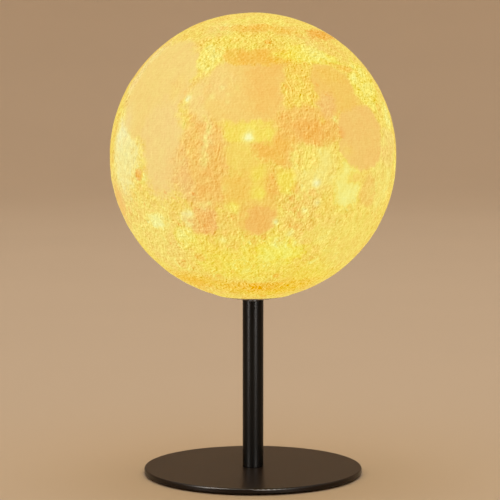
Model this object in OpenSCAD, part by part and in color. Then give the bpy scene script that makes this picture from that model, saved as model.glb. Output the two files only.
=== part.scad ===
// Moon lamp: a printed moon globe that turns on a slim steel post above a round base plate.
// Millimetres. The origin is on the table under the post's axis, +Z is up and -Y is the front.

/* [Base] */
// Diameter of the round steel base plate
base_d = 115; // [100:1:160]
// Thickness of the base plate
base_t = 3; // [3:0.5:6]
// Radius of the rounded edges of the base plate
base_edge_r = 0.8; // [0.3:0.1:1.2]
// Thickness of the non-slip pad under the base plate
pad_t = 0.6; // [0.4:0.1:2]
// Bare margin between the pad and the edge of the base plate
pad_inset = 3; // [1.5:0.5:8]
// Diameter of the hole in the pad that leaves the screw free
pad_hole_d = 14; // [12:0.5:20]
// Diameter of the countersunk screw that holds the post
base_screw_d = 5; // [4:0.5:5]
// Length of the countersunk screw, head included
base_screw_len = 16; // [10:1:16]

/* [Post] */
// Outer diameter of the post tube
post_d = 11; // [10:0.5:12]
// Wall of the post tube
post_wall = 1; // [0.8:0.1:1.3]
// Length of post that shows between base plate and globe
post_show = 88.9; // [60:0.1:160]
// Chamfer on the ends of the tube
post_chamfer = 0.3; // [0.1:0.1:0.5]
// Length of the plugs inside the two ends of the tube
plug_len = 18; // [16:1:24]

/* [Globe] */
// Diameter of the moon globe
moon_d = 150; // [140:1:200]
// Wall of the printed globe shell
moon_wall = 2; // [1.8:0.1:3]
// Depth of the lava plains below the globe's sphere
plain_depth = 0.4; // [0.2:0.05:0.45]
// Depth of the large craters below their rims
crater_depth = 0.8; // [0.5:0.1:0.9]
// Longitude of the moon's face that looks forwards, in degrees
facing_lon = -18.5; // [-180:0.5:180]
// Wall of the round neck inside the globe's opening
neck_wall = 2.2; // [1.6:0.1:3]
// Length of that neck, from the globe's surface inwards
neck_len = 10; // [8:0.5:14]

/* [Light module] */
// Outer diameter of the light module that fills the opening
module_d = 36; // [35:0.5:44]
// Wall of the module's housing
module_wall = 1.6; // [1.4:0.1:2]
// Height of the wide part of the housing
module_h = 20; // [19:1:28]
// Thickness of the domed cover
cover_t = 2.4; // [2.2:0.1:2.8]
// Width of the ring on the cover that carries the control board
board_ring_w = 1.2; // [1:0.1:1.6]
// Thickness of the control board
board_t = 1.2; // [1:0.1:1.6]
// Thickness of the silicone ring that grips the neck
grip_ring_t = 1.6; // [1.2:0.1:2]

/* [Cell and lights] */
// Diameter of the rechargeable cell
cell_d = 16.5; // [14:0.5:18]
// Length of the rechargeable cell, its pole included
cell_len = 34.5; // [30:0.5:36]
// Wall of the tube that holds the cell
cell_tube_wall = 1.4; // [1.2:0.1:1.6]
// Diameter of the board that carries the lights
led_board_d = 29; // [28:0.5:31]
// Thickness of the board that carries the lights
led_board_t = 1.6; // [1:0.1:2]
// Number of light chips in the outer ring
led_count = 12; // [6:1:12]
// Wall of the milky dome over the lights
dome_wall = 1.2; // [1:0.1:1.4]
// Diameter of the insulated leads
lead_d = 1; // [0.8:0.1:1.2]

/* [Swivel] */
// Diameter of the spigot that the globe turns on
spigot_d = 8; // [7:0.1:8]
// Depth by which the post reaches into the globe
post_sink = 2; // [1:0.1:2.2]
// Length of the swivel bearing along the spigot
bearing_len = 14; // [12:0.5:15]
// Wall of the plastic swivel bush
bush_wall = 1.1; // [0.8:0.1:1.2]
// Wall of the boss that holds the bush
boss_wall = 2.2; // [1.8:0.1:2.3]
// Thickness of the fibre washer that brakes the swivel
brake_washer_t = 0.6; // [0.4:0.1:1]
// Diameter of the screw on top of the spigot
top_screw_d = 4; // [3:0.5:4]

/* [Button and charging port] */
// Diameter of the power button
button_d = 6.6; // [5:0.1:6.6]
// Travel of the power button
button_travel = 0.5; // [0.3:0.1:0.6]
// How far the button stands out of the cover
button_proud = 0.5; // [0.4:0.1:0.8]
// Width of the charging socket
port_w = 8.9; // [8.3:0.1:9.1]
// Height of the charging socket
port_h = 3.2; // [2.8:0.1:3.3]
// Wall of the charging socket's metal sleeve
port_wall = 0.3; // [0.2:0.05:0.4]
// Diameter of the clear pin that shows the charge light
light_pin_d = 2.4; // [1.6:0.1:2.6]

/* [Clearances] */
// Radial gap of pressed and glued round fits
fit_gap = 0.05; // [0.02:0.01:0.1]
// Radial running gap of the spigot in its bush
run_gap = 0.05; // [0.02:0.01:0.09]
// Gap round parts that slide or drop into place
slide_gap = 0.2; // [0.1:0.05:0.25]
// Gap between the post and the hole in the cover
post_gap = 0.4; // [0.3:0.1:0.5]

/* [Hidden] */
$fn = 96;
cut = 1; // how far a cutting shape runs past the face it opens

// Levels up the post
base_z = pad_t;
base_top = base_z + base_t;
pole_z = base_top + post_show;
moon_r = moon_d / 2;
moon_z = pole_z + moon_r;
post_top = pole_z + post_sink;

// Foot of the post
plug_r = post_d/2 - post_wall - fit_gap;
base_head_r = base_screw_d;
base_head_h = base_head_r - base_screw_d/2;
screw_hex = 0.6; // share of the shank diameter that a hexagon socket spans
socket_share = 0.6; // share of a head's height that its socket takes

// Swivel
shoulder_t = 1;
shoulder_top = post_top + shoulder_t;
bush_flange_t = 1;
boss_seat = shoulder_top + bush_flange_t;
boss_top = shoulder_top + bearing_len;
spigot_top = boss_top + brake_washer_t;
bush_in_r = spigot_d/2 + run_gap;
bush_out_r = bush_in_r + bush_wall;
recess_r = post_d/2 + post_gap;
recess_wall = 1.5;
boss_bore_r = bush_out_r + fit_gap;
boss_r = max(boss_bore_r + boss_wall, recess_r + recess_wall);
top_washer_t = 0.8;
top_washer_margin = 1.8; // how far the washers reach past the spigot
top_washer_r = spigot_d/2 + top_washer_margin;
top_head_h = 2.4;
top_head_share = 0.925; // radius of the screw's head as a share of its shank's diameter
top_screw_len = 10;
tip_room = 0.5; // free depth of a bore beyond the tip of its screw

// Cover and control board
module_r = module_d / 2;
opening_r = module_r + slide_gap;
neck_r = opening_r + neck_wall;
housing_in_r = module_r - module_wall;
rim_rise = 1.2; // height of the cover's rim above its inside
rim_z = cover_in_z(module_r) + rim_rise;
board_ring_r = housing_in_r - slide_gap;
board_over_rim = 3.6; // least height of the board above the rim
board_over_seat = 5; // least height of the board above the seat of the bush
board_z = max(rim_z + board_over_rim, boss_seat + board_over_seat);
board_top = board_z + board_t;
board_edge_gap = 0.5;
board_hole_gap = 0.4;
board_r = housing_in_r - board_edge_gap;
board_hole_r = boss_r + board_hole_gap;
mid_r = (boss_r + board_ring_r) / 2; // middle of the space round the boss
root = 1; // how deep a rib or a post stands in the wall that carries it

// Screws of the cover and of the board
cover_screw_d = 2.5;
cover_screw_len = 12;
cover_head_r = 2.2;
cover_head_h = 1.4;
cover_head_wall = 1.2; // wall round a sunk head
cover_head_sink = 0.3; // depth of a head below the cover's surface
cover_screw_r = housing_in_r - cover_head_r;
cover_post_r = 2.5;
cover_boss_r = cover_head_r + cover_head_wall;
cover_seat_z = dome_z(cover_screw_r) + cover_head_h + cover_head_sink;
board_screw_d = 2;
board_screw_len = 5;
board_head_r = 1.8;
board_head_h = 1.2;
board_post_r = 2;
shank_root = 0.2; // how far a shank starts inside its own head
cross_span = 0.6; // share of a head's diameter that its cross recess spans
cross_arm = 0.14; // width of the recess's arms as a share of the same
cross_depth = 0.55; // share of a head's height that its cross recess takes

// Button and switch
button_lip = 0.8;
button_lip_margin = 0.5; // how far the lip reaches past its hole
button_lip_r = button_d/2 + slide_gap + button_lip_margin;
button_edge_r = 0.4;
button_pad_t = 1; // thickness of the cover's pad under the lip
button_seat = cover_in_z(mid_r) + button_pad_t;
button_top = button_seat + button_lip;
switch_gap = 0.4; // free height left above a fully pressed button
switch_z = button_top + button_travel + switch_gap;
switch_w = 6;
plunger_r = 1.7;
plunger_grip = 1.1; // length of plunger inside the switch
plunger_room = 0.1; // free depth above a fully pressed plunger

// Charging port
boot_room_w = 3.6; // extra width of the recess that takes the plug's grip
boot_room_h = 3.4; // the same across it
boot_depth = 0.8;
boot_w = port_w + boot_room_w;
boot_h = port_h + boot_room_h;
boot_z = dome_z(mid_r) + boot_depth;
port_mouth_z = boot_z + slide_gap;
tongue_t = 0.7;
tongue_back = 1.2; // thickness of the insulator that closes the socket's rear
tongue_margin = 0.8; // free room at the sides and the tip of the tongue

// Housing, cell and lights
deck_t = 1.6;
deck_top = rim_z + module_h;
cell_gap = 0.5;
cell_tube_in = cell_d/2 + cell_gap;
cell_tube_r = cell_tube_in + cell_tube_wall;
lead_gap = 0.4;
lead_r = cell_tube_r + lead_d + lead_gap;
bend_share = 1.1; // diameter of a lead's bends as a share of its own
battery_lead_r = cell_tube_in + lead_d/2;
low_bend_drop = 1; // height of the lower lead's upper bend below the deck
low_bend_run = 4; // height between that lead's two bends
pole_h = 0.8;
pole_share = 1/6; // radius of the cell's pole as a share of the cell's diameter
pole_root = 0.1;
tray_t = 1.6;
tray_room = 0.6; // height left free over the cell and its lead
tray_z = deck_top + cell_len + lead_d + tray_room;
tray_rim_wall = 1.2;
tray_lip = 1.4; // height of the tray's rim above the board
tray_rim_h = led_board_t + tray_lip;
tray_r = led_board_d/2 + slide_gap + tray_rim_wall;
led_board_z = tray_z + tray_t;
led_top = led_board_z + led_board_t;
tray_top = led_board_z + tray_rim_h;
groove_rise = 1.2;
groove_z = rim_z + groove_rise;
groove_depth = 0.7;

// Chips. Those on the control board are drawn on a grid, as angle, width across, length and height
chip_grid = 0.5;
board_chips = [[290, 8, 10, 3], [325, 8, 8, 4], [120, 7, 9, 6], [150, 3, 6, 2.4], [164, 2, 4, 1.6]];
charge_light_w = 1.6;
charge_light_l = 1;
charge_light_h = 0.6;
led_chip_w = 2.8;
led_chip_l = 3.5;
led_chip_h = 0.8;
led_inset = 3; // from the board's edge to the middle of the outer ring of lights
inner_led_count = 4;
inner_led_angle = 45;
inner_led_share = 0.42; // radius of the inner ring of lights as a share of the outer ring's

// Angles round the post, seen from above, with the front at 270
port_angle = 90;
button_angle = 270;
cover_screw_angles = [0, 180];
board_screw_angles = [45, 225];
light_pin_angle = 135;
led_lead_angles = [64, 76];
cell_lead_angles = [200, 240];

// The moon's own map. Plains are longitude, latitude and radius in kilometres
moon_km = 1737.4;
fade_km = 800; // diameter at which a scooped bowl would have no depth left
plains = [
    [-15.6, 33, 560], [17.5, 27, 330], [31.4, 8.5, 400], [51.3, -6, 340], [59.1, 17, 225],
    [-38.6, -24.4, 205], [-17, -20.5, 330], [-56, 20, 480], [-47, -2, 360], [-50, 42, 330],
    [-25, 3, 300], [20, 56, 240], [-15, 57, 240]
];
// Craters and small basins are longitude, latitude and diameter in kilometres
craters = [
    [-14.4, -58.4, 231], [-11.4, -43.3, 90], [-20.1, 9.6, 96], [-9.3, 51.6, 101],
    [-68.3, -5.5, 173], [-1.9, -9.3, 154], [-1.9, -18.2, 97], [4, -11.3, 129],
    [60.9, -8.9, 132], [60.4, -25.3, 177], [26.4, -11.4, 100], [23.4, -18, 99],
    [35.5, -15, 330], [29.9, 31.8, 95], [-39.9, -17.6, 110], [-55.1, -44.4, 206],
    [-24, -50.5, 150], [6, -41.1, 126], [14, -42, 100], [17.4, 50.2, 87],
    [44.4, 46.7, 87], [56.5, 53.6, 125], [41.5, -45.4, 190], [60.4, -36.3, 125],
    [-4.8, -31, 200], [-74.6, 2, 110], [80.9, -27, 207], [3.6, 13.3, 220],
    [-92.8, -19.4, 330], [129.1, -20.4, 185], [-128.7, 1.4, 400], [147.9, 27.3, 270],
    [-155, -8, 380], [140.9, 5.7, 313], [-151.8, -36.1, 400], [132.4, -60, 300],
    [-146.1, 58.7, 345], [155, 46, 240], [104.6, -11.9, 224], [118, 30, 180],
    [-110, 40, 200], [-118, -45, 260], [100, -50, 230], [-168, 22, 190]
];

// Height of the globe's outside at a distance r from the axis, on its lower half
function dome_z(r) = moon_z - sqrt(moon_r*moon_r - r*r);
// The same for the inside of the domed cover
function cover_in_z(r) = moon_z - sqrt(pow(moon_r - cover_t, 2) - r*r);
// Direction from the globe's centre to a place on the moon's map
function map_dir(lon, lat) =
    [cos(lat) * sin(lon - facing_lon), -cos(lat) * cos(lon - facing_lon), sin(lat)];
// Chord radius of a circle of the map, from its radius in kilometres
function chord_r(km) = moon_r * sin(km / moon_km * 180 / PI);
// Rise of the globe's sphere over such a chord
function chord_rise(km) = moon_r - sqrt(pow(moon_r, 2) - pow(chord_r(km), 2));
// Radius of the ball that passes through a chord and rises h above it
function ball_r(a, h) = (a*a + h*h) / (2*h);
// Depth of a scooped bowl below its rim, less for the wide ones
function bowl_depth(km) = crater_depth * (1 - km / fade_km);
// A point at radius r, angle a and height z
function polar(r, a, z) = [r * cos(a), r * sin(a), z];

module at(r, a, z = 0) {
    translate(polar(r, a, z)) rotate(a) children();
}

module ring(r_in, r_out, z0, z1) {
    translate([0, 0, z0]) difference() {
        cylinder(r = r_out, h = z1 - z0);
        translate([0, 0, -cut]) cylinder(r = r_in, h = z1 - z0 + 2*cut);
    }
}

module rod(r, z0, z1) {
    translate([0, 0, z0]) cylinder(r = r, h = z1 - z0);
}

// An upright slab with two round ends, w long and h wide
module slot_block(w, h, z0, z1) {
    translate([-(w - h)/2, -h/2, z0]) cube([w - h, h, z1 - z0]);
    for (side = [-1, 1]) translate([side * (w - h)/2, 0, 0]) rod(h/2, z0, z1);
}

// A round insulated lead along a chain of points, a little fuller where it bends
module lead(points) {
    for (i = [0 : len(points) - 2]) {
        run = points[i + 1] - points[i];
        translate(points[i])
            rotate([0, acos(run[2] / norm(run)), atan2(run[1], run[0])])
                cylinder(d = lead_d, h = norm(run));
    }
    for (i = [1 : 1 : len(points) - 2]) translate(points[i]) sphere(d = lead_d * bend_share);
}

// ---- Base ----

module base_plate() {
    color("#2b2622") difference() {
        rotate_extrude() {
            translate([0, base_z]) square([base_d/2 - base_edge_r, base_t]);
            translate([0, base_z + base_edge_r])
                square([base_d/2, base_t - 2*base_edge_r]);
            for (z = [base_z + base_edge_r, base_top - base_edge_r])
                translate([base_d/2 - base_edge_r, z]) circle(base_edge_r);
        }
        rod(base_screw_d/2 + fit_gap, base_z - cut, base_top + cut);
        translate([0, 0, base_z - cut]) cylinder(
            h = base_head_h + fit_gap + cut, r1 = base_head_r + fit_gap + cut,
            r2 = base_screw_d/2);
    }
}

module base_pad() {
    color("#111111") ring(pad_hole_d/2, base_d/2 - pad_inset, 0, base_z);
}

module base_screw() {
    color("#8d9094") difference() {
        union() {
            rod(base_screw_d/2, base_z, base_z + base_screw_len);
            translate([0, 0, base_z])
                cylinder(h = base_head_h, r1 = base_head_r, r2 = base_screw_d/2);
        }
        translate([0, 0, base_z - cut])
            cylinder(d = base_screw_d * screw_hex, h = cut + base_head_h * socket_share, $fn = 6);
    }
}

// ---- Post ----

module post_tube() {
    color("#211f1d") rotate_extrude() polygon([
        [post_d/2 - post_wall, base_top], [post_d/2 - post_chamfer, base_top],
        [post_d/2, base_top + post_chamfer], [post_d/2, post_top - post_chamfer],
        [post_d/2 - post_chamfer, post_top], [post_d/2 - post_wall, post_top]
    ]);
}

module foot_plug() {
    color("#9a9a98") ring(base_screw_d/2 + fit_gap, plug_r, base_top, base_top + plug_len);
}

module head_spigot() {
    color("#b4b2ab") difference() {
        union() {
            rod(plug_r, post_top - plug_len, post_top);
            rod(post_d/2, post_top, shoulder_top);
            rod(spigot_d/2, shoulder_top, spigot_top);
        }
        rod(top_screw_d/2 + fit_gap, spigot_top - top_screw_len - tip_room, spigot_top + cut);
    }
}

module brake_washer() {
    color("#7a4b2d") ring(spigot_d/2 + slide_gap, top_washer_r, boss_top, spigot_top);
}

module top_washer() {
    color("#c2c5c9") ring(top_screw_d/2 + fit_gap, top_washer_r, spigot_top,
        spigot_top + top_washer_t);
}

module top_screw() {
    head_z = spigot_top + top_washer_t;
    color("#8d9094") difference() {
        union() {
            rod(top_screw_d/2, head_z - top_screw_len, head_z);
            rod(top_screw_d * top_head_share, head_z, head_z + top_head_h);
        }
        translate([0, 0, head_z + top_head_h * (1 - socket_share)])
            cylinder(d = top_screw_d * screw_hex, h = top_head_h, $fn = 6);
    }
}

// ---- Globe ----

// The solid moon before it is hollowed: plains are flattened by larger balls set off centre,
// and each crater is scooped by a ball of its own
module moon_ball() {
    difference() {
        intersection() {
            sphere(moon_r);
            intersection_for (p = plains) {
                h = chord_rise(p[2]) - plain_depth;
                r = ball_r(chord_r(p[2]), h);
                translate(map_dir(p[0], p[1]) * (moon_r - plain_depth - r)) sphere(r, $fn = 180);
            }
        }
        for (c = craters) {
            km = c[2] / 2;
            h = bowl_depth(c[2]);
            r = ball_r(chord_r(km), h);
            floor_d = moon_r - chord_rise(km) - h;
            translate(map_dir(c[0], c[1]) * (floor_d + r)) sphere(r);
        }
    }
}

module moon_shell() {
    neck_top = dome_z(opening_r) + neck_len;
    color("#f2cf78") difference() {
        translate([0, 0, moon_z]) moon_ball();
        difference() {
            translate([0, 0, moon_z]) sphere(moon_r - moon_wall);
            rod(neck_r, pole_z, neck_top);
        }
        rod(opening_r, pole_z - cut, neck_top + cut);
    }
}

// ---- Light module ----

module cover_shape() {
    difference() {
        union() {
            intersection() {
                translate([0, 0, moon_z]) sphere(moon_r);
                rod(module_r, pole_z - cut, rim_z);
            }
            rod(boss_r, pole_z + cover_t/2, boss_top);
        }
        difference() {
            translate([0, 0, moon_z]) sphere(moon_r - cover_t);
            rod(boss_r, pole_z, boss_top);
            ring(housing_in_r, module_r + cut, pole_z, rim_z);
        }
    }
}

module bottom_cover() {
    color("#efe9dc") difference() {
        union() {
            cover_shape();
            difference() {
                ring(board_ring_r - board_ring_w, board_ring_r, cover_in_z(board_ring_r) - root, board_z);
                for (a = cover_screw_angles)
                    at(cover_screw_r, a) rod(cover_post_r + slide_gap, rim_z, board_z + cut);
                at(mid_r, button_angle) rod(button_lip_r + board_ring_w, pole_z, board_z + cut);
            }
            at(mid_r, button_angle) rod(button_lip_r + slide_gap, cover_in_z(mid_r) - root, button_seat);
            for (a = cover_screw_angles)
                at(cover_screw_r, a) rod(cover_boss_r, cover_seat_z, rim_z);
            for (a = board_screw_angles)
                at(mid_r, a) rod(board_post_r, cover_in_z(mid_r) - root, board_z);
        }
        rod(recess_r, pole_z - cut, boss_seat);
        rod(boss_bore_r, boss_seat - cut, boss_top + cut);
        at(mid_r, button_angle)
            rod(button_d/2 + slide_gap, pole_z - cut, button_seat + cut);
        at(mid_r, port_angle) rotate(90) {
            slot_block(boot_w, boot_h, pole_z - cut, boot_z);
            slot_block(port_w + 2*slide_gap, port_h + 2*slide_gap, pole_z, board_z - cut);
        }
        at(mid_r, light_pin_angle) rod(light_pin_d/2 + fit_gap, pole_z - cut, board_z);
        for (a = cover_screw_angles) at(cover_screw_r, a) {
            rod(cover_head_r + slide_gap, pole_z - cut, cover_seat_z);
            rod(cover_screw_d/2 + fit_gap, cover_seat_z - cut, rim_z + cut);
        }
        for (a = board_screw_angles) at(mid_r, a)
            rod(board_screw_d/2 + fit_gap, board_top - board_screw_len - tip_room, board_z + cut);
    }
}

module swivel_bush() {
    color("#e8e6df") {
        ring(bush_in_r, bush_out_r, boss_seat - bush_flange_t/2, boss_top);
        ring(bush_in_r, recess_r - slide_gap, shoulder_top, boss_seat);
    }
}

module cell_tube() {
    difference() {
        ring(cell_tube_in, cell_tube_r, deck_top - deck_t/2, tray_z + tray_t);
        at(0, cell_lead_angles[1], deck_top) translate([cell_tube_in - cut, -lead_d, 0])
            cube([cell_tube_wall + 2*cut, 2*lead_d, tray_z - deck_top]);
    }
}

module module_housing() {
    color("#f4f1ea") difference() {
        union() {
            ring(housing_in_r, module_r, rim_z, deck_top);
            rod(housing_in_r + module_wall/2, deck_top - deck_t, deck_top);
            for (a = cover_screw_angles) intersection() {
                at(cover_screw_r, a) rod(cover_post_r, rim_z, deck_top);
                rod(module_r - module_wall/2, rim_z, deck_top);
            }
            cell_tube();
            ring(cell_tube_in, tray_r, tray_z, led_board_z);
            ring(tray_r - tray_rim_wall, tray_r, tray_z + tray_t/2, tray_top);
        }
        ring(module_r - groove_depth, module_r + cut, groove_z, groove_z + grip_ring_t);
        for (a = cover_screw_angles) at(cover_screw_r, a)
            rod(cover_screw_d/2 + fit_gap, rim_z - cut, cover_seat_z + cover_screw_len + tip_room);
        for (a = led_lead_angles) at(lead_r, a)
            rod(lead_d/2 + slide_gap, deck_top - deck_t - cut, led_board_z + cut);
        at(battery_lead_r, cell_lead_angles[1])
            rod(lead_d/2 + slide_gap, deck_top - deck_t - cut, deck_top + cut);
        at(cell_tube_in/2, cell_lead_angles[0])
            rod(lead_d/2 + slide_gap, deck_top - deck_t - cut, deck_top + cut);
    }
}

module grip_ring() {
    color("#3c3c3c") ring(module_r - groove_depth + fit_gap, module_r + slide_gap - fit_gap,
        groove_z + fit_gap, groove_z + grip_ring_t - fit_gap);
}

// A cross recess in a screw's head of radius r, between two heights
module cross_recess(r, z0, z1) {
    for (turn = [0, 90]) rotate(turn) translate([-r * cross_span, -r * cross_arm, z0])
        cube([2*r * cross_span, 2*r * cross_arm, z1 - z0]);
}

module cover_screws() {
    face_z = cover_seat_z - cover_head_h;
    color("#8d9094") for (a = cover_screw_angles) at(cover_screw_r, a) difference() {
        union() {
            rod(cover_screw_d/2, cover_seat_z - shank_root, cover_seat_z + cover_screw_len);
            rod(cover_head_r, face_z, cover_seat_z);
        }
        cross_recess(cover_head_r, face_z - cut, face_z + cover_head_h * cross_depth);
    }
}

// ---- Control board ----

module control_board() {
    color("#2f6b3f") difference() {
        ring(board_hole_r, board_r, board_z, board_top);
        for (a = cover_screw_angles)
            at(cover_screw_r, a) rod(cover_post_r + slide_gap, board_z - cut, board_top + cut);
        for (a = board_screw_angles)
            at(mid_r, a) rod(board_screw_d/2 + slide_gap, board_z - cut, board_top + cut);
    }
}

module board_screws() {
    color("#8d9094") for (a = board_screw_angles) at(mid_r, a) difference() {
        union() {
            rod(board_screw_d/2, board_top - board_screw_len, board_top + shank_root);
            rod(board_head_r, board_top, board_top + board_head_h);
        }
        cross_recess(board_head_r, board_top + board_head_h * (1 - cross_depth),
            board_top + board_head_h + cut);
    }
}

// A chip w across the board, l along it and h high, that stands on it
module chip(w, l, h) {
    translate([-w/2, -l/2, 0]) cube([w, l, h]);
}

module charge_circuit() {
    color("#2c2c30") for (c = board_chips)
        at(mid_r, c[0], board_top) chip(c[1] * chip_grid, c[2] * chip_grid, c[3] * chip_grid);
    color("#f5d98a") at(mid_r, light_pin_angle, board_z - charge_light_h)
        chip(charge_light_w, charge_light_l, charge_light_h);
}

module port_sleeve() {
    color("#b9bdc2") at(mid_r, port_angle) rotate(90) difference() {
        slot_block(port_w, port_h, port_mouth_z, board_z);
        slot_block(port_w - 2*port_wall, port_h - 2*port_wall, port_mouth_z - cut, board_z + cut);
    }
}

module port_tongue() {
    inner_w = port_w - 2*port_wall - 2*fit_gap;
    inner_h = port_h - 2*port_wall - 2*fit_gap;
    tongue_w = inner_w - 2*tongue_margin;
    color("#1c1c1c") at(mid_r, port_angle) rotate(90) {
        slot_block(inner_w, inner_h, board_z - tongue_back, board_z);
        translate([-tongue_w/2, -tongue_t/2, port_mouth_z + tongue_margin])
            cube([tongue_w, tongue_t, board_z - port_mouth_z - 2*tongue_margin]);
    }
}

module power_switch() {
    color("#3a3a3a") at(mid_r, button_angle) difference() {
        translate([-switch_w/2, -switch_w/2, switch_z]) cube([switch_w, switch_w, board_z - switch_z]);
        rod(plunger_r + fit_gap, switch_z - cut, switch_z + plunger_grip + button_travel + plunger_room);
    }
}

module charge_light_pin() {
    color("#eef3f6") intersection() {
        at(mid_r, light_pin_angle) rod(light_pin_d/2, pole_z, board_z - charge_light_h);
        translate([0, 0, moon_z]) sphere(moon_r);
    }
}

// ---- Cell ----

module battery_cell() {
    cap_z = deck_top + cell_len - pole_h;
    color("#3f7fb5") rod(cell_d/2, deck_top, cap_z);
    color("#c9cccf") rod(cell_d * pole_share, cap_z - pole_root, deck_top + cell_len);
}

module battery_leads() {
    low = cell_lead_angles[0];
    high = cell_lead_angles[1];
    bend_z = deck_top - deck_t - low_bend_drop;
    color("#20232a") lead([
        polar(battery_lead_r, low, board_top), polar(battery_lead_r, low, bend_z - low_bend_run),
        polar(cell_tube_in/2, low, bend_z), polar(cell_tube_in/2, low, deck_top)
    ]);
    color("#b3261e") lead([
        polar(battery_lead_r, high, board_top),
        polar(battery_lead_r, high, deck_top + cell_len + lead_d/2),
        polar(0, high, deck_top + cell_len + lead_d/2)
    ]);
}

// ---- Lights ----

module led_board() {
    color("#e9ebee") rod(led_board_d/2, led_board_z, led_top);
}

// A ring of evenly spaced lights
module led_ring(count, r, first) {
    for (i = [0 : count - 1]) at(r, first + i * 360/count, led_top)
        chip(led_chip_w, led_chip_l, led_chip_h);
}

module led_chips() {
    ring_r = led_board_d/2 - led_inset;
    color("#f6e27a") {
        led_ring(led_count, ring_r, 0);
        led_ring(inner_led_count, ring_r * inner_led_share, inner_led_angle);
    }
}

module led_leads() {
    color("#b3261e") lead([for (z = [board_top, led_board_z]) polar(lead_r, led_lead_angles[0], z)]);
    color("#20232a") lead([for (z = [board_top, led_board_z]) polar(lead_r, led_lead_angles[1], z)]);
}

module light_dome() {
    color("#f8f5ee") translate([0, 0, tray_top]) intersection() {
        difference() {
            sphere(tray_r);
            sphere(tray_r - dome_wall);
        }
        rod(tray_r, 0, tray_r);
    }
}

// ---- Power button ----

module switch_plunger() {
    color("#e0ddd4") at(mid_r, button_angle)
        rod(plunger_r, button_top, switch_z + plunger_grip);
}

module power_button() {
    tip = dome_z(mid_r) - button_proud;
    edge = button_edge_r;
    color("#1e1d1c") at(mid_r, button_angle) rotate_extrude() {
        translate([0, tip]) square([button_d/2 - edge, 2*edge]);
        translate([button_d/2 - edge, tip + edge]) intersection() {
            circle(edge);
            translate([-edge, -edge]) square([2*edge, edge]);
        }
        translate([0, tip + edge]) square([button_d/2, button_top - tip - edge]);
        translate([0, button_seat]) square([button_lip_r, button_lip]);
    }
}

base_plate();
base_pad();
base_screw();
post_tube();
foot_plug();
head_spigot();
brake_washer();
top_washer();
top_screw();
moon_shell();
bottom_cover();
swivel_bush();
module_housing();
grip_ring();
cover_screws();
control_board();
board_screws();
charge_circuit();
port_sleeve();
port_tongue();
power_switch();
charge_light_pin();
battery_cell();
battery_leads();
led_board();
led_chips();
led_leads();
light_dome();
switch_plunger();
power_button();
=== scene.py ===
"""Moon lamp: the looks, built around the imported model.

A printed moon globe, lit from inside, turns on a slim black post above a round black plate.
Lengths are metres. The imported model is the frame, and pieces modelled here stand where it says.
"""

import math

import bmesh
import bpy
import numpy as np
from bpy.props import FloatProperty, FloatVectorProperty, IntProperty, PointerProperty
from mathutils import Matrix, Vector


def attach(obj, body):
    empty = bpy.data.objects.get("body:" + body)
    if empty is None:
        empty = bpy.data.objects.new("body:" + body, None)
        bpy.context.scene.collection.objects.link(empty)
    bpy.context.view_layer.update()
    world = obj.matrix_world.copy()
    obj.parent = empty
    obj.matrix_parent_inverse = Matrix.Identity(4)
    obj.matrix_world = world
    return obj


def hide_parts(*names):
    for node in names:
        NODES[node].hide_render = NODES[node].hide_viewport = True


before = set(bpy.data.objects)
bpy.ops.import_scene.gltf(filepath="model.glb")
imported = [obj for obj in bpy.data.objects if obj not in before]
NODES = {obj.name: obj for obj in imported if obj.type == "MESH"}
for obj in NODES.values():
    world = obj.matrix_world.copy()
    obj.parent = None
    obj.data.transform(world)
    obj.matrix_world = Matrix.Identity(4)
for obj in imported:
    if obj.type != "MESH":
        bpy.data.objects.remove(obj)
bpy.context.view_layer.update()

bl_info = {
    "name": "Moon lamp",
    "version": (1, 0, 0),
    "blender": (4, 5, 0),
    "location": "3D View > Sidebar > Moon lamp",
    "description": "Models and dresses a moon globe lamp around its packed CAD model",
    "category": "Object",
}

MM = 0.001

# The globe's shell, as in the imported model
GLOBE_CENTRE = np.array([0.0, 0.0, 167.5 * MM])
SHELL_WALL = 2.0 * MM
OPENING_R = 18.2 * MM
NECK_R = 20.4 * MM
NECK_LEN = 10.0 * MM
INSIDE_RINGS = 24

# The print's relief, which fades out within RIM_FADE of the opening
MOON_R_KM = 1737.4
PLAIN_DEPTH = 0.35 * MM
ROUGH_HEIGHT = 0.20 * MM
RIM_FADE = 5 * MM

# Craters: CRATER_DEPTH is that of one CRATER_DEPTH_KM across, the next three are shares of a
# crater's depth or radius, and floors darker than DARK_FLOOR show on smooth plains too
CRATER_DEPTH = 0.085 * MM
CRATER_DEPTH_KM = 20
RIM_HEIGHT = 0.45
RIM_WIDTH = 0.22
EDGE_WOBBLE = 0.16
DARK_FLOOR = -0.2
SMALL_CRATERS = 620
SMALLEST_CRATER_KM = 42
CRATER_SEED = 7

# Tone, milkiness and smoothness of ground that no row below covers, and the inside's value of each
BARE_GROUND = (0.60, 0.02, 0.1)
INSIDE_VALUE = 0.5

# The floor's flat part, then radius and height of each ring of its sweep up to the wall
FLOOR_R = 2.4
FLOOR_SWEEP = ((2.8, 0.02), (3.1, 0.10), (3.35, 0.25), (3.5, 0.5), (3.55, 0.8), (3.55, 3.0))

# Soft boxes that only gleam on gloss: side and azimuth in degrees, 0 at the front
GLEAM_SIDES = (("left", -50), ("right", 30))

# The camera's place beside the lamp's axis and in front of it, and its sensor in mm
CAMERA_X = -0.0016
CAMERA_AWAY = 1.0
SENSOR_WIDTH = 36.0

SMOOTH_ANGLE = math.radians(40)

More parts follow.
